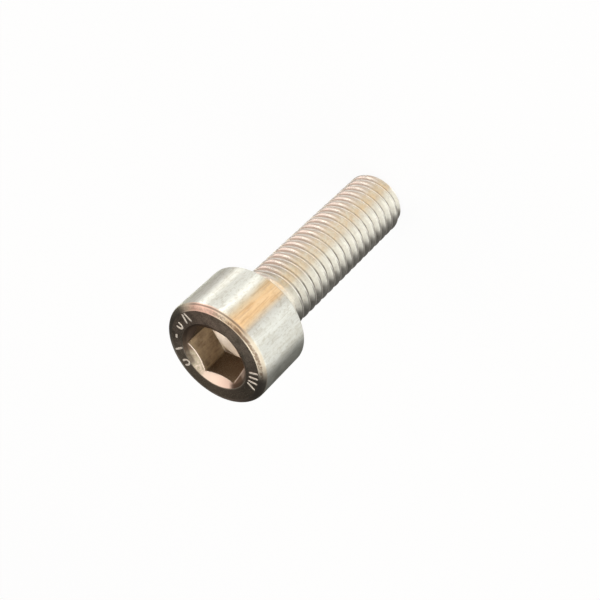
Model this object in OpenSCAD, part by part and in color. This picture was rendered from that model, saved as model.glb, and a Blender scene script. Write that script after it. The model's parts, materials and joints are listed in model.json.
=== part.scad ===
// Hex socket cap screw, threaded up to its head and standing on the flat end of its thread.
// The origin is the centre of the bearing face under the head, and +Z runs up through the head.

/* [Head] */
// Head diameter
head_d = 10; // [9:0.1:12.5]
// Head height above the bearing face
head_h = 6; // [5:0.1:8]
// Radius of the rounded top edge
edge_r = 0.6; // [0.2:0.05:1]
// Chamfer around the bearing face
rim_chamfer = 0.3; // [0.1:0.05:0.5]

/* [Socket] */
// Width across the flats of the hexagon
socket_af = 5.05; // [4:0.05:6]
// Depth of the flats below the top of the head
socket_depth = 3.1; // [2:0.1:4]
// Diameter of the countersunk mouth
mouth_d = 6.4; // [6.2:0.1:7.6]
// Included angle of the mouth and of the conical floor
cone_angle = 120; // [90:1:150]
// Diameter of the conical floor
floor_d = 4.4; // [2:0.1:4.6]
// Diameter of the blunt tip of the floor's cone
floor_tip_d = 0.6; // [0.2:0.1:1.5]
// Turn of a corner of the hexagon from +X
socket_turn = 36; // [0:1:60]

/* [Thread] */
// Nominal thread diameter
thread_d = 6; // [5:0.1:7.2]
// Pitch of the right-hand thread
pitch = 1; // [0.8:0.05:1.25]
// Length from the bearing face to the tip
shank_l = 20; // [12:0.5:40]
// Distance from the bearing face to the first turn, inside the neck
thread_start = 0.7; // [0.3:0.05:1.5]
// Turns over which the thread rises to its full height
runout_turns = 1.5; // [1:0.1:3]
// Radius of the fillet under the head
fillet_r = 0.35; // [0.25:0.05:0.6]
// Diameter of the flat end inside the point's chamfer
point_d = 4.6; // [3.4:0.1:4.8]
// Straight edges to each turn of the thread
turn_edges = 32; // [24:1:40]

/* [Hidden] */
$fn = 96;

steel = [0.72, 0.71, 0.68];

// How far a cut stands clear of the face it opens, how far the conical floor is drawn up inside
// the hexagon, how far the neck is sunk into the head, and how far the slope of the neck ends
// below the roots of the thread
clear = 1;
lap = 0.05;
sunk = 0.6;
buried = 0.05;

// Basic profile of the 60 degree thread, from the height of its sharp triangle
triangle_h = pitch * sqrt(3) / 2;
crest_r = thread_d / 2;
flank_foot_r = crest_r - triangle_h * 5 / 8;
root_r = crest_r - triangle_h * 17 / 24;
crest_w = pitch / 8;
root_w = pitch / 4;

// One pitch of the profile as [height, radius]: the crest, a flank, the rounded root and its far flank
profile = [
    [0, crest_r],
    [crest_w, crest_r],
    [(pitch + crest_w - root_w) / 2, flank_foot_r],
    [(pitch + crest_w) / 2, root_r],
    [(pitch + crest_w + root_w) / 2, flank_foot_r]
];
corners = len(profile);

// A rolled blank has the pitch diameter, which is what shows at the neck
neck_r = crest_r - triangle_h * 3 / 8;
neck_l = thread_start + pitch;

// The turns run past the tip, where the point is cut from them
turns = ceil((shank_l - thread_start) / pitch) + 2;
rows = turns * corners;

// Share of the thread's height reached after some turns
function rise(t) = min(1, max(0, t / runout_turns));

// Corner of the thread on a row of the profile and an edge of the turn
function thread_point(row, edge) =
    let (
        corner = profile[row % corners],
        turn = floor(row / corners),
        part_turn = edge / turn_edges,
        z = thread_start + corner[0] + (turn + part_turn) * pitch,
        r = root_r + (corner[1] - root_r) * rise(turn + part_turn),
        a = 360 * part_turn
    )
    [r * cos(a), r * sin(a), z];

// Place of that corner in the list of points. After a full turn a row runs on into the next turn.
function at(row, edge) =
    edge < turn_edges ? row * turn_edges + edge : at(row + corners, edge - turn_edges);

// Triangles of the helical skin between one row and the next
function skin_faces() = [
    for (row = [0:rows - 2])
        for (edge = [0:turn_edges - 1])
            if (edge < turn_edges - 1 || row < rows - 1 - corners)
                for (face = [
                    [at(row, edge), at(row + 1, edge), at(row + 1, edge + 1)],
                    [at(row, edge), at(row + 1, edge + 1), at(row, edge + 1)]
                ]) face
];

// Loops round the two open ends of the skin, each a row and the step where it meets the next turn
first_loop = concat(
    [for (edge = [0:turn_edges]) at(0, edge)],
    [for (row = [corners - 1:-1:1]) at(row, 0)]
);
last_loop = concat(
    [for (edge = [0:turn_edges - 1]) at(rows - 1, edge)],
    [for (row = [rows - 2:-1:rows - 1 - corners]) at(row, turn_edges - 1)]
);

// Closes a loop with a fan of triangles to a point on the axis
function fan(loop, hub) = [
    for (i = [0:len(loop) - 1]) [loop[i], loop[(i + 1) % len(loop)], hub]
];

// Helical ridge with its core, one closed skin that fades out at the neck
module thread() {
    count = rows * turn_edges;
    points = concat(
        [for (row = [0:rows - 1]) for (edge = [0:turn_edges - 1]) thread_point(row, edge)],
        [[0, 0, thread_start + pitch / 2], [0, 0, thread_start + (turns - 1 / 2) * pitch]]
    );
    polyhedron(points, concat(
        skin_faces(),
        fan(first_loop, count),
        [for (face = fan(last_loop, count + 1)) [face[1], face[0], face[2]]]
    ));
}

// Cylinder that ends in the chamfered point, wide of the thread along its side
module point_envelope() {
    side_r = crest_r + pitch / 2;
    cone_h = side_r - point_d / 2;
    cylinder(h = shank_l - cone_h, r = side_r);
    translate([0, 0, shank_l - cone_h]) cylinder(h = cone_h, r1 = side_r, r2 = point_d / 2);
}

// Neck between head and thread: a fillet, the bare blank and the slope to the roots of the thread
module neck() {
    rotate_extrude() {
        difference() {
            square([neck_r + fillet_r, fillet_r]);
            translate([neck_r + fillet_r, fillet_r]) circle(fillet_r);
        }
    }
    translate([0, 0, -sunk]) cylinder(h = neck_l + sunk, r = neck_r);
    translate([0, 0, neck_l]) cylinder(h = pitch, r1 = neck_r, r2 = root_r - buried);
}

// Neck and thread, drawn from the bearing face towards the tip
module shank() {
    neck();
    intersection() {
        thread();
        point_envelope();
    }
}

// Solid head, turned with a rounded top edge and a chamfered rim
module head_blank() {
    rotate_extrude() {
        polygon([
            [0, 0],
            [head_d / 2 - rim_chamfer, 0],
            [head_d / 2, rim_chamfer],
            [head_d / 2, head_h - edge_r],
            [0, head_h - edge_r]
        ]);
        square([head_d / 2 - edge_r, head_h]);
        translate([head_d / 2 - edge_r, head_h - edge_r]) circle(edge_r);
    }
}

// Hexagonal recess with a countersunk mouth and a conical floor, cut down from z = 0
module socket() {
    slope = 1 / tan(cone_angle / 2);
    mouth_h = mouth_d / 2 * slope;
    floor_h = (floor_d - floor_tip_d) / 2 * slope;
    rotate(socket_turn) translate([0, 0, -socket_depth]) {
        cylinder(h = socket_depth + clear, d = socket_af / cos(30), $fn = 6);
    }
    translate([0, 0, -mouth_h]) cylinder(h = mouth_h + clear, r1 = 0, r2 = mouth_d / 2 + clear / slope);
    translate([0, 0, -socket_depth - floor_h]) {
        cylinder(h = floor_h + lap, r1 = floor_tip_d / 2, r2 = floor_d / 2 + lap / slope);
    }
}

module cap_screw() {
    color(steel) {
        difference() {
            head_blank();
            translate([0, 0, head_h]) socket();
        }
        rotate([0, 180, 0]) shank();
    }
}

cap_screw();
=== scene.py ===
import json
import math

import bpy
from mathutils import Matrix, Vector


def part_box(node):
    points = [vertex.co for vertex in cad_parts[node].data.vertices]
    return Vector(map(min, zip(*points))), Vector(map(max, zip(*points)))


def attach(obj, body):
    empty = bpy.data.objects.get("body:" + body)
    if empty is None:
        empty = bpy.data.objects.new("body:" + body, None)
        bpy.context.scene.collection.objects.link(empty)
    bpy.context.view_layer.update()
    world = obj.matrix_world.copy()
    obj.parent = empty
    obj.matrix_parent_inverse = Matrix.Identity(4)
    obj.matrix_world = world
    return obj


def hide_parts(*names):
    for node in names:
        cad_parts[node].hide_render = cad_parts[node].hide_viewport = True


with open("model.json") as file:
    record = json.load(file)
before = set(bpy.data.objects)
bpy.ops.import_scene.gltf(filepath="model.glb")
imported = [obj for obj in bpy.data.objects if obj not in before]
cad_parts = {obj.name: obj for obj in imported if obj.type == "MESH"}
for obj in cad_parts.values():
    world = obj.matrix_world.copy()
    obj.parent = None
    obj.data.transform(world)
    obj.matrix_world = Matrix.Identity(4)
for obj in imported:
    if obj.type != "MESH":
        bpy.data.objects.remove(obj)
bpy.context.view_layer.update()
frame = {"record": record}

mm = 0.001
low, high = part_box("cap_screw")
mounts = {mount["name"]: mount for mount in frame["record"]["mounts"]}
print("loaded the screw, %.1f mm tall" % ((high.z - low.z) / mm))


# Mesh of the screw. Its sizes repeat the part's source where the frame doesn't hold them.

screw = {
    "headRadius": mounts["head_side"]["dims"]["r_mm"] * mm,
    "headTop": high.z,
    "tip": -low.z,              # below the bearing face
    "edgeRadius": 0.6 * mm,     # rounding of the top edge
    "rimChamfer": 0.3 * mm,
    "socketFlats": 5.05 * mm,
    "socketDepth": 3.1 * mm,
    "socketTurn": 36,           # a corner of the hexagon, in degrees from +X
    "mouthRadius": 3.2 * mm,
    "mouthShift": 0.16 * mm,    # how far off centre the countersink is, and toward which side
    "mouthTurn": 92,
    "coneAngle": 120,           # included angle of the mouth and of the floor
    "floorRadius": 2.48 * mm,
    "floorTip": 0.5 * mm,
    "tipSoft": 1.8 * mm,        # rounding of the blunt tip of the socket's floor
    "threadRadius": 3 * mm,
    "pitch": 1 * mm,
    "threadStart": 0.7 * mm,
    "runoutTurns": 1.5,
    "neckFillet": 0.35 * mm,
    "neckBlend": 0.03 * mm,     # softening where the ridges rise out of the neck
    "pointRadius": 2.3 * mm,
    "pointBlend": 0.04 * mm,    # and where they end in the point's chamfer
    "softEdge": 0.05 * mm,      # rounding of every edge that has none of its own
    "sharpAngle": 38,           # degrees from which an edge is shaded as sharp
    "columns": 180,             # straight edges round the screw, a multiple of 6 for the hexagon
}

columns = screw["columns"]
pitch = screw["pitch"]
hair = 1e-9                                 # heights closer than this are the same
sharpHeight = pitch * math.sqrt(3) / 2      # of the thread's whole triangle
rootRadius = screw["threadRadius"] - sharpHeight * 17 / 24
neckRadius = screw["threadRadius"] - sharpHeight * 3 / 8
neckLength = screw["threadStart"] + pitch
sideSteel, faceSteel, threadSteel, socketSteel = range(4)       # the order of the screw's materials


def roundedPath(corners):
    # corners are (across, up, softness, steps of its arc, rows on the stretch before it)
    path = [Vector(corners[0][:2])]
    for before, corner, after in zip(corners, corners[1:], corners[2:]):
        here = Vector(corner[:2])
        back = (Vector(before[:2]) - here).normalized()
        on = (Vector(after[:2]) - here).normalized()
        softness, steps, rows = corner[2:]
        half = back.angle(on) / 2
        centre = here + (back + on).normalized() * softness / math.sin(half)
        reach = softness / math.tan(half)
        arc = [here + back * reach - centre, here + on * reach - centre]
        rounded = [centre + arc[0].slerp(arc[1], k / steps) * softness for k in range(steps + 1)]
        start = path[-1]
        path += [start.lerp(rounded[0], row / (rows + 1)) for row in range(1, rows + 1)]
        path += rounded
    start, end = path[-1], Vector(corners[-1][:2])
    rows = corners[-1][4]
    path += [start.lerp(end, row / (rows + 1)) for row in range(1, rows + 2)]
    return path


def headOutline(turn, neckEnd):
    # one column of the head, from the middle of the socket out and down to the neck
    soft, top = screw["softEdge"], screw["headTop"]
    slope = 1 / math.tan(math.radians(screw["coneAngle"] / 2))
    wall = screw["socketFlats"] / 2 / math.cos(math.radians(turn % 60 - 30))
    floor = top - screw["socketDepth"]
    floorTip = floor - (screw["floorRadius"] - screw["floorTip"]) * slope
    away = math.radians(turn + screw["socketTurn"] - screw["mouthTurn"])
    mouth = screw["mouthRadius"] + screw["mouthShift"] * math.cos(away)
    wallTop = top - (mouth - wall) * slope
    outer, rim = screw["headRadius"], screw["rimChamfer"]
    return roundedPath([
        (0, floorTip, 0, 0, 0),
        (screw["floorTip"], floorTip, screw["tipSoft"], 5, 0),
        (screw["floorRadius"], floor, soft, 2, 5),
        (wall, floor, soft, 3, 0),
        (wall, wallTop, soft, 3, 7),
        (mouth, top, soft, 3, 2),
        (outer, top, screw["edgeRadius"], 12, 5),
        (outer, rim, soft, 3, 12),
        (outer - rim, 0, soft, 3, 1),
        (neckRadius, 0, screw["neckFillet"], 6, 4),
        (neckRadius, -neckEnd, 0, 0, 0),
    ])


def threadProfile(arcSteps, rows):
    # one ridge as (down the screw, radius), from the root above its crest to the root below
    crest, crestWidth = screw["threadRadius"], pitch / 8
    vee, valley = crest - sharpHeight * 7 / 8, (pitch - crestWidth) / 2
    soft, rootSoft = screw["softEdge"], sharpHeight / 6
    return roundedPath([
        (crestWidth - pitch, crest, 0, 0, 0),
        (-valley, vee, rootSoft, 2 * arcSteps, 0),
        (0, crest, soft, arcSteps, rows),
        (crestWidth, crest, soft, arcSteps, 0),
        (crestWidth + valley, vee, rootSoft, 2 * arcSteps, rows),
        (pitch, crest, 0, 0, 0),
    ])


fineProfile = threadProfile(arcSteps=12, rows=0)


def ridgeRadius(down):
    for a, b in zip(fineProfile, fineProfile[1:]):
        if a.x <= down <= b.x:
            return a.y + (b.y - a.y) * (down - a.x) / (b.x - a.x)
    return rootRadius


def softest(a, b, blend):
    # the larger of two radii, with the corner between them filled in
    near = max(blend - abs(a - b), 0) / blend
    return max(a, b) + near * near * blend / 4


def shankRadius(share, down):
    # share of a turn round the screw, and distance below the bearing face
    turns = (down - screw["threadStart"]) / pitch - share
    ridge = math.floor(turns + 7 / 16)      # the root above a crest lies 7/16 of a pitch before it
    rise = min(1, max(0, (ridge + share) / screw["runoutTurns"]))
    radius = rootRadius + (ridgeRadius((turns - ridge) * pitch) - rootRadius) * rise
    bare = neckRadius - (neckRadius - rootRadius) * max(0, down - neckLength) / pitch
    radius = softest(radius, bare, screw["neckBlend"])
    point = screw["pointRadius"] + screw["tip"] - down
    return -softest(-radius, -point, screw["pointBlend"])


class Skin:
    # the screw's surface while it is made: places, faces, and the finish of each face
    def __init__(self):
        self.places, self.faces, self.finishes = [], [], []
        self.spots = {}

    def addPlace(self, radius, angle, up):
        self.places.append((radius * math.cos(angle), radius * math.sin(angle), up))
        return len(self.places) - 1

    def addFace(self, finish, *corners):
        ring = [corner for k, corner in enumerate(corners) if corner != corners[k - 1]]
        if len(ring) > 2:
            self.faces.append(ring)
            self.finishes.append(finish)

    def shankPlace(self, share, down):
        return self.addPlace(shankRadius(share, down), math.pi * (1 - 2 * share), -down)

    def spot(self, row, column):
        # the shank's place on a row and a column, made once
        key = (row, column % columns)
        if key not in self.spots:
            self.spots[key] = self.shankPlace(key[1] / columns, heightOf(row))
        return self.spots[key]


def heightOf(row):
    # a pitch is as many rows as there are columns, so going one row down with each column
    # follows the ridge
    return screw["threadStart"] + pitch * row / columns


def shankRows():
    # the rows on which the ridge has its corners, and the level ones that it starts and ends on
    profile = threadProfile(arcSteps=2, rows=2)[1:-1]
    shares = {round(point.x / pitch * columns) % columns for point in profile}
    turnCount = math.ceil(screw["tip"] / pitch)
    rows = sorted(share + columns * turn for share in shares for turn in range(-1, turnCount))
    first = next(row for row in rows if heightOf(row) > screw["neckFillet"] + screw["softEdge"])
    last = max(row for row in rows if heightOf(row + columns) < screw["tip"] - 2 * screw["softEdge"])
    return [row for row in rows if first <= row <= last + columns], first, last


def addThread(skin, rows, first, last):
    spot = skin.spot
    helix = [row for row in rows if row <= last]
    for above, below in zip(helix, helix[1:]):
        for j in range(columns):
            k = j + 1
            ahead = (spot(above + k, k), spot(below + k, k))
            skin.addFace(threadSteel, *ahead, spot(below + j, j), spot(above + j, j))
    for j in range(columns):
        # level rows close the wedge above the first turn and the one below the last
        level = [row for row in rows if row - first <= j] + [None]
        for above, below in zip(level, level[1:]):
            left, right = (first + j, first + j + 1) if below is None else (below, below)
            ahead = (spot(above, j + 1), spot(right, j + 1))
            skin.addFace(threadSteel, *ahead, spot(left, j), spot(above, j))
        level = [None] + [row for row in rows if row - last > j]
        for above, below in zip(level, level[1:]):
            left, right = (last + j, last + j + 1) if above is None else (above, above)
            ahead = (spot(right, j + 1), spot(below, j + 1))
            skin.addFace(threadSteel, *ahead, spot(below, j), spot(left, j))


def addPoint(skin, row):
    # rings from a level row round the point to the middle of the flat end, the ones past the
    # point's chamfer with a radius of their own
    soft, end, endRadius = screw["softEdge"], screw["tip"], screw["pointRadius"]
    top = heightOf(row)
    levels = [(None, top + (end - soft - top) * k / 3) for k in (1, 2, 3)]
    levels += [(endRadius - soft * 0.7, end - soft * 0.2), (endRadius - soft * 2, end)]
    levels += [(endRadius * share, end) for share in (0.7, 0.4, 0.1)]
    ring = [skin.spot(row, j) for j in range(columns)]
    for radius, down in levels:
        nextRing = []
        for share in [j / columns for j in range(columns)]:
            if radius is None:
                nextRing.append(skin.shankPlace(share, down))
            else:
                nextRing.append(skin.addPlace(radius, math.pi * (1 - 2 * share), -down))
        for j in range(columns):
            k = (j + 1) % columns
            skin.addFace(threadSteel, ring[k], nextRing[k], nextRing[j], ring[j])
        ring = nextRing
    middle = skin.addPlace(0, 0, -end)
    for j in range(columns):
        skin.addFace(threadSteel, ring[(j + 1) % columns], middle, ring[j])


def addHead(skin, row):
    # columns from the socket's middle out to the neck, where they meet the shank's first row
    offset = round(columns * (180 - screw["socketTurn"]) / 360)
    turns = [360 * i / columns for i in range(columns)]
    outlines = [headOutline(turn, heightOf(row)) for turn in turns]
    centre = skin.addPlace(0, 0, outlines[0][0].y)
    grid = []
    for i, outline in enumerate(outlines):
        angle = math.radians(screw["socketTurn"] + turns[i])
        places = [skin.addPlace(point.x, angle, point.y) for point in outline[1:-1]]
        grid.append([centre] + places + [skin.spot(row, offset - i)])
    topRows = [k for k, point in enumerate(outlines[0]) if point.y > screw["headTop"] - hair]
    for i in range(columns):
        here, beside = grid[i], grid[(i + 1) % columns]
        for k in range(len(here) - 1):
            finish = socketSteel if k < topRows[0] else faceSteel if k < topRows[-1] else sideSteel
            skin.addFace(finish, here[k], here[k + 1], beside[k + 1], beside[k])


def buildScrew():
    rows, first, last = shankRows()
    skin = Skin()
    addThread(skin, rows, first, last)
    addPoint(skin, last + columns)
    addHead(skin, first)
    mesh = bpy.data.meshes.new("capScrew")
    mesh.from_pydata(skin.places, [], skin.faces)
    mesh.polygons.foreach_set("material_index", skin.finishes)
    mesh.shade_smooth()
    mesh.set_sharp_from_angle(angle=math.radians(screw["sharpAngle"]))
    mesh.validate()
    piece = bpy.data.objects.new("cap_screw_body", mesh)
    bpy.context.scene.collection.objects.link(piece)
    print("built the screw with %d faces" % len(skin.faces))
    return piece


body = buildScrew()
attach(body, "root")
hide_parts("cap_screw")


# Marks on the head's face: plain strokes that spell nothing

marks = {
    "radius": 3.9 * mm,
    "tall": 0.88 * mm,
    "width": 0.2 * mm,
    "proud": 0.025 * mm,
    "arcHalves": (0.3, 0.44),   # half an arc's width and height, as shares of a mark's height
    "dashHalf": 0.24,
    "endShare": 0.45,           # thickness of a stroke's end, as a share of the rest
    "sharpAngle": 50,
    "steel": (0.68, 0.64, 0.57),
    "stain": (0.4, 0.36, 0.31),
    "roughness": 0.42,
    "grain": 0.004,             # its height in mm
    "surface": {"Metallic": 0.5},
    # where each sits in degrees from +X, its shape, and the lean of a bar or the opening of an arc
    "strokes": [
        (-17, "bar", 16), (-10, "bar", -16), (8, "arc", 70), (29, "dash", 0), (49, "bar", 20),
        (70, "arc", 48), (-146, "bar", 14), (-154, "bar", 14), (-162, "bar", 14), (-170, "bar", -14),
    ],
}


def strokePath(shape, lean):
    # points of one stroke as (along the ring, outward), a mark being 1 tall
    if shape == "arc":
        wide, tall = marks["arcHalves"]
        start, end = math.radians(90 + lean), math.radians(450 - lean)
        turns = [start + (end - start) * k / 20 for k in range(21)]
        return [(wide * math.cos(turn), tall * math.sin(turn)) for turn in turns]
    if shape == "dash":
        return [(marks["dashHalf"] * k / 4, 0) for k in range(-4, 5)]
    slope = math.tan(math.radians(lean))
    return [(slope * k / 8, k / 8) for k in range(-4, 5)]


def buildMarks():
    # each stroke is a flattened tube with this many sides
    places, faces, sides = [], [], 10
    for turn, shape, lean in marks["strokes"]:
        out = Vector((math.cos(math.radians(turn)), math.sin(math.radians(turn)), 0))
        beside = Vector((-out.y, out.x, 0))
        middle = out * marks["radius"] + Vector((0, 0, screw["headTop"]))
        path = [middle + (beside * a + out * b) * marks["tall"] for a, b in strokePath(shape, lean)]
        first = len(places)
        for i, point in enumerate(path):
            along = path[min(i + 1, len(path) - 1)] - path[max(i - 1, 0)]
            across = along.cross(Vector((0, 0, 1))).normalized() * marks["width"] / 2
            share = 1 if 0 < i < len(path) - 1 else marks["endShare"]
            for k in range(sides):
                t = 2 * math.pi * k / sides
                lift = Vector((0, 0, marks["proud"] * math.sin(t)))
                places.append(point + (across * math.cos(t) + lift) * share)
        for i in range(len(path) - 1):
            a, b = first + i * sides, first + (i + 1) * sides
            for k in range(sides):
                faces.append((a + k, b + k, b + (k + 1) % sides, a + (k + 1) % sides))
        faces.append(tuple(range(first, first + sides)))
        faces.append(tuple(reversed(range(len(places) - sides, len(places)))))
    mesh = bpy.data.meshes.new("topMarks")
    mesh.from_pydata(places, [], faces)
    mesh.shade_smooth()
    mesh.set_sharp_from_angle(angle=math.radians(marks["sharpAngle"]))
    piece = bpy.data.objects.new("top_marks", mesh)
    bpy.context.scene.collection.objects.link(piece)
    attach(piece, "root")
    print("built %d marks" % len(marks["strokes"]))
    return piece


topMarks = buildMarks()


# Materials. Distances inside them are in millimetres, from the middle of the bearing face.

class Wire:
    # a value inside a material, with arithmetic
    def __init__(self, shader, socket):
        self.shader = shader
        self.socket = socket

    def __add__(self, other):
        return self.shader.maths("ADD", self, other)

    def __sub__(self, other):
        return self.shader.maths("SUBTRACT", self, other)

    def __rsub__(self, other):
        return self.shader.maths("SUBTRACT", other, self)

    def __mul__(self, other):
        return self.shader.maths("MULTIPLY", self, other)

    def __truediv__(self, other):
        return self.shader.maths("DIVIDE", self, other)

    def __rtruediv__(self, other):
        return self.shader.maths("DIVIDE", other, self)

    __radd__ = __add__
    __rmul__ = __mul__


class Shader:
    # a material or the world, to which add() puts a node: its type, its settings, then its inputs
    def __init__(self, owner):
        owner.use_nodes = True
        self.owner = owner
        self.tree = owner.node_tree
        self.tree.nodes.clear()

    def measure(self):
        # where a place on the screw is, in millimetres, and its distance from the axis
        where = self.add("TexCoord", {}, {}, "Object")
        self.point = self.add("VectorMath", {"operation": "SCALE"}, {0: where, "Scale": 1 / mm})
        self.x, self.y, self.z = [self.add("SeparateXYZ", {}, {0: self.point}, axis) for axis in "XYZ"]
        self.radius = self.maths("SQRT", self.x * self.x + self.y * self.y)

    def add(self, kind, settings, inputs, output=0):
        node = self.tree.nodes.new("ShaderNode" + kind)
        for name, value in settings.items():
            setattr(node, name, value)
        for name, value in inputs.items():
            if isinstance(value, Wire):
                self.tree.links.new(value.socket, node.inputs[name])
            elif isinstance(value, tuple) and len(node.inputs[name].default_value) == 4:
                node.inputs[name].default_value = value + (1,)
            else:
                node.inputs[name].default_value = value
        return None if output is None else Wire(self, node.outputs[output])

    def maths(self, operation, a, b=0.0):
        return self.add("Math", {"operation": operation}, {0: a, 1: b})

    def vector(self, x, y, z):
        return self.add("CombineXYZ", {}, {0: x, 1: y, 2: z})

    def mix(self, amount, a, b):
        return self.add("Mix", {"data_type": "RGBA"}, {0: amount, 6: a, 7: b}, 2)

    def noise(self, where, scale, detail=3, rough=0.55):
        inputs = {"Vector": where, "Scale": scale, "Detail": detail, "Roughness": rough}
        return self.add("TexNoise", {}, inputs)

    def pattern(self, rise, *measures):
        # noise over the screw, drawn out along the axis where the rise is under 1
        where = self.point if rise == 1 else self.vector(self.x, self.y, self.z * rise)
        return self.noise(where, *measures)

    def step(self, value, start, end):
        # 0 up to start, 1 from end on
        return self.add("MapRange", {"interpolation_type": "SMOOTHSTEP"}, {0: value, 1: start, 2: end})

    def near(self, value, centre, half, soft):
        # 1 within half of the centre, fading to 0 over the next soft
        return 1 - self.step(self.maths("ABSOLUTE", value - centre), half, half + soft)

    def toward(self, turn):
        # how far out a place is in a direction, in degrees from +X
        turn = math.radians(turn)
        return self.x * math.cos(turn) + self.y * math.sin(turn)

    def flank(self, turn, half, soft):
        # 1 on the side of the screw that looks in a direction
        share = self.toward(turn) / self.radius
        return self.step(share, math.cos(math.radians(half + soft)), math.cos(math.radians(half)))

    def finish(self, colour, roughness, height, surface):
        # height is in millimetres
        normal = self.add("Bump", {}, {"Strength": 1.0, "Distance": mm, "Height": height})
        varied = {"Base Color": colour, "Roughness": roughness, "Normal": normal}
        steel = self.add("BsdfPrincipled", {}, {**varied, **surface})
        self.add("OutputMaterial", {}, {"Surface": steel}, None)
        return self.owner


def fromMouth(s):
    # distance from the axis, less what the countersink is off centre by on that side
    return s.radius - s.toward(screw["mouthTurn"]) / s.radius * (screw["mouthShift"] / mm)


def screwShader(name):
    shader = Shader(bpy.data.materials.new(name))
    shader.measure()
    return shader


# In the finishes a flank is the degrees from +X to its middle, half its width and its fade. A band
# is its middle, half its width and its fade. A pattern is its rise, its scale per millimetre, and
# its detail and roughness where they aren't the usual ones. A surface is the same all over.

side = {
    "steel": (0.74, 0.74, 0.685),
    "stain": (0.53, 0.5, 0.42),
    "stainAmount": 0.45,
    "grainAmount": 0.75,            # of stain in the grain, and then in the scratches
    "scratchAmount": 0.5,
    # painted amber reflection toward the front, with brown in it
    "straw": (0.86, 0.64, 0.3),
    "strawFlank": (-83, 5, 10),
    "strawAmount": 0.66,
    "brown": (0.56, 0.36, 0.17),
    "brownAmount": 0.6,
    # painted shade down one side
    "grime": (0.2, 0.2, 0.18),
    "grimeFlank": (-170, 16, 18),
    "grimeAmount": 0.8,
    "cream": (0.95, 0.84, 0.68),    # painted highlight on the top's rounded edge
    "creamAmount": 0.8,
    # painted pink reflection on the rounded edge
    "pink": (0.95, 0.66, 0.56),
    "pinkFlank": (-46, 6, 16),
    "pinkAmount": 0.75,
    "rim": (0.085, 0.08, 0.072),    # painted shade where the same edge is dark
    "rimFlank": (98, 106, 20),
    "rimAmount": 0.9,
    "flecks": (0.24, 0.14, 0.08),
    "fleckBand": (1.15, 0.15, 0.2),     # in radians up the rounded edge
    "fleckFlank": (-105, 30, 25),
    "thickFlank": (-95, 7, 8),      # where the flecks run together
    "fleckAmount": 0.75,
    # painted dark line on the rounded edge, between its painted highlights
    "groove": (0.3, 0.22, 0.17),
    "grooveBand": (0.6, 0.06, 0.12),
    "grooveFlank": (-62, 26, 14),
    "grooveAmount": 0.7,
    "streaks": (0.12, 2.2, 4),
    "mottle": (1, 1.1, 5, 0.62),
    "fine": (0.4, 14),
    "grain": (0.6, 4.5, 4, 0.7),
    "scratches": (0.06, 8),
    "patches": (2, 1.3, 5, 0.7),
    "pits": (1, 2.4, 2),
    "roughness": 0.34,
    "streakRoughness": 0.12,
    "grainRoughness": 0.08,
    "edgeRoughness": 0.2,           # more of it on the rounded edge
    "turning": 0.0012,              # height of the turning marks and depth of the dents, in mm
    "dents": 0.006,
    # the turning marks drag the light along the axis
    "surface": {
        "Metallic": 1,
        "Specular Tint": (0.28, 0.28, 0.26),
        "Anisotropic": 0.9,
        "Anisotropic Rotation": 0.25,
    },
}


def sideFinish():
    s = screwShader("turnedSide")
    streaks, mottle = s.pattern(*side["streaks"]), s.pattern(*side["mottle"])
    fine, grain = s.pattern(*side["fine"]), s.pattern(*side["grain"])
    scratches, patches = s.pattern(*side["scratches"]), s.pattern(*side["patches"])

    # stained and scratched steel, with a painted amber reflection toward the front and painted shade on
    # one side
    stain = s.step(streaks * 0.6 + mottle * 0.4, 0.46, 0.66) * side["stainAmount"]
    colour = s.mix(stain, side["steel"], side["stain"])
    colour = s.mix(s.step(grain, 0.46, 0.7) * side["grainAmount"], colour, side["stain"])
    colour = s.mix(s.step(scratches, 0.52, 0.7) * side["scratchAmount"], colour, side["stain"])
    # painted amber reflection toward the front, varied with brown
    brown = s.step(scratches * 0.5 + streaks * 0.5, 0.46, 0.6) * side["brownAmount"]
    straw = s.flank(*side["strawFlank"]) * (0.2 + streaks * 1.3) * side["strawAmount"]
    colour = s.mix(straw, colour, s.mix(brown, side["straw"], side["brown"]))
    # painted shade down one side of the head
    grime = s.flank(*side["grimeFlank"]) * (0.7 + mottle * 0.6) * side["grimeAmount"]
    colour = s.mix(grime, colour, side["grime"])

    # the rounded edge, where rounding goes from 0 on the side to a quarter turn, in radians, on top
    edge = screw["edgeRadius"] / mm
    above = s.z - (screw["headTop"] / mm - edge)
    rounding = s.maths("ARCTAN2", above, s.radius - (screw["headRadius"] / mm - edge))
    ring = s.step(rounding, 0.2, 0.5)
    # painted highlight along the rounded edge
    colour = s.mix(ring * side["creamAmount"], colour, side["cream"])
    # painted pink reflection on the front of the edge
    colour = s.mix(ring * s.flank(*side["pinkFlank"]) * side["pinkAmount"], colour, side["pink"])
    band = s.near(rounding + (patches - 0.5) * 0.5, *side["fleckBand"])
    flecks = band * s.step(grain * 0.5 + patches * 0.5, 0.4, 0.56) * side["fleckAmount"]
    flecks = flecks * (0.35 + s.flank(*side["fleckFlank"]) * 0.65)
    thick = band * s.flank(*side["thickFlank"]) * (0.3 + patches * 0.9)
    colour = s.mix(s.maths("MAXIMUM", flecks, thick), colour, side["flecks"])
    # a painted dark line between the painted highlights
    groove = s.near(rounding + (patches - 0.5) * 0.15, *side["grooveBand"])
    groove = groove * s.flank(*side["grooveFlank"]) * side["grooveAmount"]
    colour = s.mix(groove, colour, side["groove"])
    # painted shade where the edge is dark
    colour = s.mix(ring * s.flank(*side["rimFlank"]) * side["rimAmount"], colour, side["rim"])

    roughness = side["roughness"] + streaks * side["streakRoughness"]
    roughness = roughness + grain * side["grainRoughness"] + ring * side["edgeRoughness"]
    turning = s.noise(s.vector(0.0, 0.0, s.z), 26, 2)
    dents = s.step(s.pattern(*side["pits"]), 0.68, 0.76)
    height = turning * side["turning"] - dents * side["dents"] + fine * side["turning"]
    return s.finish(colour, roughness, height, side["surface"])


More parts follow.
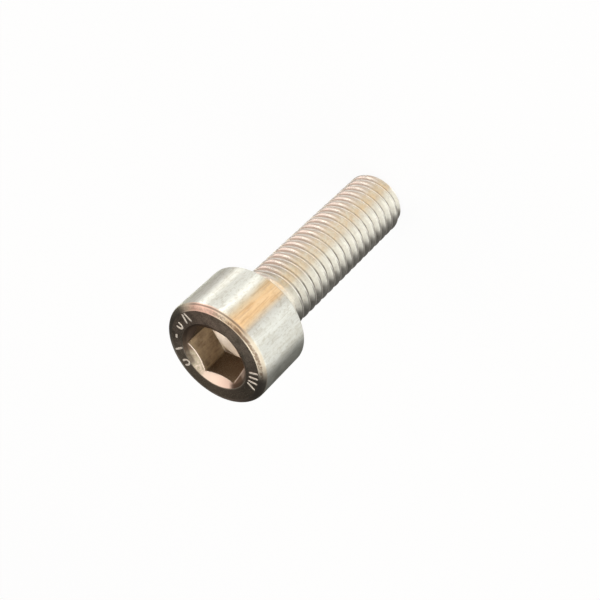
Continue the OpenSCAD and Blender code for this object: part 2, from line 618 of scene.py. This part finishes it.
face = {
    "steel": (0.2, 0.165, 0.135),
    "stain": (0.085, 0.075, 0.058),
    "stainFlank": (140, 50, 50),
    "stainAmount": 0.75,
    "speckAmount": 0.6,
    "worn": (0.42, 0.38, 0.31),
    "wornAmount": 0.5,
    "lipFlank": (120, 60, 30),      # where the lip of the socket is worn
    "lipAmount": 0.6,
    "mottle": (1, 1.3, 5, 0.65),
    "grain": (1, 11),
    "specks": (1, 5, 4, 0.75),
    "roughness": 0.34,
    "turning": 0.0015,
    "surface": {
        "Metallic": 1,
        "Specular Tint": (0.5, 0.48, 0.45),
        "Anisotropic": 0.5,
        "Anisotropic Rotation": 0.25,
    },
}


def faceFinish():
    s = screwShader("turnedFace")
    rings = s.noise(s.vector(s.radius, 0.0, 0.0), 9, 4, 0.7)
    mottle, grain = s.pattern(*face["mottle"]), s.pattern(*face["grain"])
    specks = s.pattern(*face["specks"])
    colour = s.mix(s.step(mottle, 0.4, 0.68), face["steel"], face["stain"])
    colour = s.mix(s.flank(*face["stainFlank"]) * face["stainAmount"], colour, face["stain"])
    colour = s.mix(s.step(specks, 0.44, 0.66) * face["speckAmount"], colour, face["stain"])
    worn = s.step(rings * 0.3 + grain * 0.7, 0.5, 0.68) * face["wornAmount"]
    colour = s.mix(worn, colour, face["worn"])
    lip = s.near(fromMouth(s), screw["mouthRadius"] / mm, 0.05, 0.12) * s.flank(*face["lipFlank"])
    colour = s.mix(lip * face["lipAmount"], colour, face["worn"])
    roughness = face["roughness"] + mottle * 0.15
    height = rings * face["turning"] + grain * face["turning"]
    return s.finish(colour, roughness, height, face["surface"])


thread = {
    "steel": (0.86, 0.86, 0.8),
    "stain": (0.64, 0.61, 0.55),
    "stainAmount": 0.35,
    "grainAmount": 0.6,
    "tan": (0.8, 0.69, 0.5),
    "tanFlank": (-74, 4, 22),
    "tanAmount": 0.8,
    "rose": (0.54, 0.42, 0.36),
    "roseFlank": (-22, 18, 36),
    "roseAmount": 0.75,
    # pale colour, of the painted highlight on the thread's upper flanks
    "worn": (0.98, 0.95, 0.9),
    "rubDepth": 0.37,               # below the crest, where the painted highlight lies on the upper flank, in mm
    "rubHalf": 0.06,
    "rubTurn": -90,                 # the side where it lies deepest
    "crest": (0.58, 0.56, 0.53),
    # painted shade in the roots
    "root": (0.09, 0.08, 0.07),
    "rootFlank": (-135, 18, 20),    # where the painted shade in the roots is darkest
    # painted shade down one side
    "grime": (0.2, 0.19, 0.17),
    "grimeFlank": (-176, 16, 24),
    "grimeAmount": 0.95,
    "dullFlank": (-176, 46, 16),    # where the crests get the painted shade too
    "dullAmount": 0.75,
    "mottle": (1, 1.2, 5, 0.62),
    "streaks": (0.1, 1.8, 4),
    "fine": (1, 13),
    "grain": (1, 4, 4, 0.7),
    "pits": (1, 2.7, 2),
    "roughness": 0.36,
    "rolling": 0.002,               # height of the rolling marks and depth of the dents, in mm
    "dents": 0.012,
    "surface": {
        "Metallic": 0.65,
        "Specular Tint": (0.4, 0.38, 0.36),
        "Anisotropic": 0.3,
        "Anisotropic Rotation": 0.25,
    },
}


def threadFinish():
    s = screwShader("rolledThread")
    root, crest = rootRadius / mm, screw["threadRadius"] / mm
    mottle, streaks = s.pattern(*thread["mottle"]), s.pattern(*thread["streaks"])
    fine, grain = s.pattern(*thread["fine"]), s.pattern(*thread["grain"])

    # across goes from 0 on one crest to 1 on the next crest down
    turn = (math.pi - s.maths("ARCTAN2", s.y, s.x)) / (2 * math.pi)
    down = (s.z * -1 - screw["threadStart"] / mm) / (pitch / mm)
    across = s.maths("FRACT", down - turn)
    shaft = s.step(s.z * -1, screw["neckFillet"] / mm, neckLength / mm)

    colour = s.mix(s.step(mottle, 0.42, 0.68) * thread["stainAmount"], thread["steel"], thread["stain"])
    tan = s.flank(*thread["tanFlank"]) * s.step(streaks * 0.5 + grain * 0.5, 0.36, 0.58)
    colour = s.mix(tan * thread["tanAmount"], colour, thread["tan"])
    rose = s.flank(*thread["roseFlank"])
    colour = s.mix(rose * thread["roseAmount"], colour, thread["rose"])
    colour = s.mix(s.step(grain, 0.48, 0.68) * thread["grainAmount"], colour, thread["stain"])

    # a painted highlight on the upper flanks, painted shade in the roots, and darker crests
    half = thread["rubHalf"]
    rubDepth = s.toward(thread["rubTurn"]) / s.radius * (thread["rubDepth"] + half) - half
    # painted highlight
    flankHighlight = s.near(s.radius + rubDepth + (fine - 0.5) * 0.04, crest, half, 0.035)
    flankHighlight = flankHighlight * s.step(across, 0.5, 0.6) * shaft * (0.2 + rose * 1.2)
    colour = s.mix(flankHighlight, colour, thread["worn"])
    # painted shade in the roots
    rootShade = 1 - s.step(s.radius + (fine - 0.5) * 0.08, root + 0.09, root + 0.15)
    rootShade = rootShade * shaft * (0.45 + s.flank(*thread["rootFlank"]) * 0.4)
    colour = s.mix(rootShade, colour, thread["root"])
    # the crests are darker, most on the rose side
    crestBand = s.step(s.radius + (fine - 0.5) * 0.06, crest - 0.1, crest - 0.05)
    colour = s.mix(crestBand * (0.4 + rose * 0.45), colour, thread["crest"])
    # painted shade down one side, reaching the crests too
    grime = s.flank(*thread["grimeFlank"]) * (0.7 + mottle * 0.6) * thread["grimeAmount"]
    colour = s.mix(grime, colour, thread["grime"])
    shadedCrests = s.flank(*thread["dullFlank"]) * crestBand * thread["dullAmount"]
    colour = s.mix(shadedCrests, colour, thread["grime"])

    roughness = thread["roughness"] + mottle * 0.14 - flankHighlight * 0.12
    rolling = s.noise(s.vector(across * 7, s.x * 0.12, s.y * 0.12), 1.6)
    dents = s.step(s.pattern(*thread["pits"]), 0.66, 0.74) * crestBand
    height = rolling * thread["rolling"] + fine * thread["rolling"] - dents * thread["dents"]
    return s.finish(colour, roughness, height, thread["surface"])


socket = {
    "steel": (0.66, 0.58, 0.43),
    # a stain colour, also used for the painted shade in the socket
    "stain": (0.2, 0.14, 0.1),
    "stainAmount": 0.7,
    "speckAmount": 0.3,
    "worn": (0.92, 0.78, 0.67),     # painted light on the floor, and painted highlights on the hexagon's edges
    "floorAmount": 0.8,
    "dirtRadii": (0.3, 1.6),        # of the painted shadow on the floor, where it is full and where it ends, in mm
    "dirtAmount": 0.7,
    "wallFlanks": ((126, 27, 5), (6, 27, 5)),       # walls with painted shade
    "wallAmount": 0.8,
    # the countersunk mouth, with painted light and painted shade
    "pale": (0.8, 0.67, 0.58),
    "paleFlank": (112, 31, 17),
    "fainterFlank": (203, 9, 12),   # where the painted light comes again
    "fainterAmount": 0.5,
    # painted highlight on one side of the mouth
    "cream": (0.4, 0.35, 0.26),
    "creamFlank": (74, 14, 12),
    "dark": (0.06, 0.045, 0.035),
    "darkFlank": (-15, 30, 25),
    "darkAmount": 0.35,
    "lipRadii": (2.88, 3.08),       # where the painted shadow on the lip starts and is full, in mm
    "brightFlank": (113, 32, 10),   # where the lip has no painted shadow
    "lipAmount": 0.7,
    # painted highlights on the hexagon's edges: direction, half length in degrees, half width in mm,
    # amount
    "edges": ((66, 26, 0.02, 1), (186, 24, 0.05, 0.5)),
    "drag": (0.1, 6),
    "mottle": (1, 1, 5, 0.6),
    "fine": (1, 12),
    "clouds": (1, 3, 4, 0.7),
    "roughness": 0.36,
    "broaching": 0.006,
    "grain": 0.002,
    "surface": {"Metallic": 1, "Specular Tint": (0.5, 0.48, 0.45)},
}


def socketFinish():
    s = screwShader("pressedSocket")
    drag, mottle = s.pattern(*socket["drag"]), s.pattern(*socket["mottle"])
    fine, clouds = s.pattern(*socket["fine"]), s.pattern(*socket["clouds"])

    # walls and floor
    top = screw["headTop"] / mm
    floor = top - screw["socketDepth"] / mm
    stain = s.step(mottle * 0.75 + drag * 0.25, 0.36, 0.66) * socket["stainAmount"]
    colour = s.mix(stain, socket["steel"], socket["stain"])
    bottom = 1 - s.step(s.z, floor, floor + 0.05)
    # painted light on the socket's floor
    colour = s.mix(bottom * socket["floorAmount"], colour, socket["worn"])
    # painted shadow over the middle of the floor
    floorShadow = (1 - s.step(s.radius + (mottle - 0.5) * 2, *socket["dirtRadii"])) * bottom
    colour = s.mix(floorShadow * socket["dirtAmount"], colour, socket["stain"])
    # painted shade on two walls
    shadedWalls = s.flank(*socket["wallFlanks"][0]) + s.flank(*socket["wallFlanks"][1])
    shadedWalls = shadedWalls * (1 - bottom) * (1.15 - s.step(mottle * 0.4 + fine * 0.6, 0.42, 0.62) * 0.6)
    colour = s.mix(shadedWalls * socket["wallAmount"], colour, socket["stain"])

    # the countersunk mouth, a cone above the walls, with painted light on one side and painted shade on
    # the rest
    slope = 1 / math.tan(math.radians(screw["coneAngle"] / 2))
    cone = top - screw["mouthRadius"] / mm * slope
    mouth = s.step(s.z - fromMouth(s) * slope, cone - 0.05, cone - 0.02)
    # painted light on one side of the mouth, painted shade on the others
    ring = s.mix(s.flank(*socket["paleFlank"]), socket["stain"], socket["pale"])
    ring = s.mix(s.flank(*socket["fainterFlank"]) * socket["fainterAmount"], ring, socket["pale"])
    ring = s.mix(s.flank(*socket["darkFlank"]) * socket["darkAmount"], ring, socket["dark"])
    # a painted highlight on one side
    cream = s.flank(*socket["creamFlank"]) * (1 - s.step(clouds, 0.42, 0.62) * 0.6)
    ring = s.mix(cream, ring, socket["cream"])
    # painted shadow on the lip
    lip = s.step(s.radius, *socket["lipRadii"]) * (1 - s.flank(*socket["brightFlank"]))
    ring = s.mix(lip * socket["lipAmount"], ring, socket["dark"])
    colour = s.mix(mouth, colour, ring)
    # painted highlights on the hexagon's edges
    for turn, half, wide, amount in socket["edges"]:
        edge = s.near(s.toward(turn), screw["socketFlats"] / 2 / mm + wide, wide, 0.02)
        colour = s.mix(edge * s.flank(turn, half, 4) * mouth * amount, colour, socket["worn"])
    colour = s.mix(s.step(fine, 0.6, 0.78) * socket["speckAmount"], colour, socket["stain"])

    roughness = socket["roughness"] + mottle * 0.2 + floorShadow * 0.2
    height = drag * socket["broaching"] * (1 - mouth) + fine * socket["grain"]
    return s.finish(colour, roughness, height, socket["surface"])


def markFinish():
    s = screwShader("stampedMarks")
    grain = s.noise(s.point, 9)
    colour = s.mix(s.step(grain, 0.4, 0.7), marks["steel"], marks["stain"])
    roughness = marks["roughness"] + grain * 0.2
    return s.finish(colour, roughness, grain * marks["grain"], marks["surface"])


for material in (sideFinish(), faceFinish(), threadFinish(), socketFinish()):
    body.data.materials.append(material)
topMarks.data.materials.append(markFinish())
print("made the finishes of the steel")


# Camera

camera = {
    "place": Vector((-1.65, -79.58, 59.93)) * mm,
    "down": 39.0,       # degrees below the horizon
    "roll": 134.6,      # degrees that the camera is turned on its own axis
    "lens": 70.5,
}


def addCamera():
    data = bpy.data.cameras.new("camera")
    data.lens = camera["lens"]
    data.clip_start = 0.01
    eye = bpy.data.objects.new("camera", data)
    tilt = Matrix.Rotation(math.radians(90 - camera["down"]), 4, "X")
    roll = Matrix.Rotation(math.radians(-camera["roll"]), 4, "Z")
    eye.matrix_world = Matrix.Translation(camera["place"]) @ tilt @ roll
    bpy.context.scene.collection.objects.link(eye)
    bpy.context.scene.camera = eye
    print("placed the camera")


addCamera()


# Floor and light

studio = {
    "floorSize": 12,
    "floorColour": (0.88, 0.88, 0.88),
    "floorWhite": 0.93,         # share of plain white in the floor that the camera and the steel see
    "worldColour": (0.21, 0.21, 0.21),
    "horizonColour": (0.94, 0.94, 0.94),    # seen by the camera past the floor's far edge
    "lampDistance": 0.4,
    "lamps": {
        # azimuth and height of the middle, width and height as seen from the screw (all degrees),
        # strength where a white card facing it would be 1 if the lamp were all round, colour
        "westSky": (-175, 70, 40, 28, 1.84, (1, 1, 0.96)),
        "beigeTop": (-30, 74, 36, 20, 1.1, (1, 0.92, 0.78)),
        "roseTop": (5, 60, 26, 22, 1.5, (1, 0.88, 0.78)),
        "peachSoft": (32, 36, 36, 20, 0.95, (1, 0.7, 0.6)),
        "pinkTop": (58, 58, 28, 14, 1.92, (1, 0.7, 0.62)),
        "backTop": (108, 70, 50, 12, 2.4, (1, 0.97, 0.9)),
        "creamSoft": (-150, 36, 56, 28, 1.76, (1, 0.98, 0.92)),
        "firstStrip": (-6, 6, 12, 15, 13, (1, 1, 0.97)),
        "gapStrip": (-26, 6, 14, 15, 4, (1, 1, 0.97)),
        "secondStrip": (-46, 6, 12, 15, 13.5, (1, 1, 0.97)),
        "amberStrip": (-80, 5, 30, 12, 7.2, (1, 0.58, 0.24)),
        "rightStrip": (-120, 6, 28, 15, 4.6, (0.97, 1, 1)),
        "farStrip": (-158, 6, 30, 15, 2.8, (0.97, 1, 1)),
        "leftSoft": (48, 4, 26, 12, 5.6, (0.93, 1, 0.9)),
    },
}


def addFloor():
    half = studio["floorSize"] / 2
    mesh = bpy.data.meshes.new("floor")
    corners = [(-half, -half, low.z), (half, -half, low.z), (half, half, low.z), (-half, half, low.z)]
    mesh.from_pydata(corners, [], [(0, 1, 2, 3)])
    floor = bpy.data.objects.new("floor", mesh)
    bpy.context.scene.collection.objects.link(floor)
    s = Shader(bpy.data.materials.new("paleFloor"))
    matt = s.add("BsdfDiffuse", {}, {"Color": studio["floorColour"]})
    white = s.add("Emission", {}, {"Strength": 1.0})
    seen = s.add("LightPath", {}, {}, "Is Camera Ray")
    for ray in ("Is Glossy Ray", "Is Transmission Ray"):
        seen = s.maths("MAXIMUM", seen, s.add("LightPath", {}, {}, ray))
    surface = s.add("MixShader", {}, {0: seen * studio["floorWhite"], 1: matt, 2: white})
    s.add("OutputMaterial", {}, {"Surface": surface}, None)
    mesh.materials.append(s.owner)


def addLamp(name, azimuth, height, wide, tall, strength, colour, centre):
    distance = studio["lampDistance"]
    data = bpy.data.lights.new(name, "AREA")
    data.shape = "RECTANGLE"
    data.size = 2 * distance * math.tan(math.radians(wide / 2))
    data.size_y = 2 * distance * math.tan(math.radians(tall / 2))
    data.energy = strength * math.pi * data.size * data.size_y
    data.color = colour
    lamp = bpy.data.objects.new(name, data)
    turn = Matrix.Rotation(math.radians(azimuth + 90), 4, "Z")
    tilt = Matrix.Rotation(math.radians(90 - height), 4, "X")
    out = Matrix.Translation((0, 0, distance))
    lamp.matrix_world = Matrix.Translation(centre) @ turn @ tilt @ out
    lamp.visible_camera = False
    bpy.context.scene.collection.objects.link(lamp)


def addWorld():
    s = Shader(bpy.data.worlds.new("studio"))
    bpy.context.scene.world = s.owner
    seen = s.add("LightPath", {}, {}, "Is Camera Ray")
    colour = s.mix(seen, studio["worldColour"], studio["horizonColour"])
    surface = s.add("Background", {}, {"Color": colour, "Strength": 1.0})
    s.add("OutputWorld", {}, {"Surface": surface}, None)


addFloor()
addWorld()
middle = Vector((0, 0, (low.z + high.z) / 2))
for name, lamp in studio["lamps"].items():
    addLamp(name, *lamp, middle)
print("lit the studio with %d lamps" % len(studio["lamps"]))

bpy.context.scene.view_settings.view_transform = "Standard"
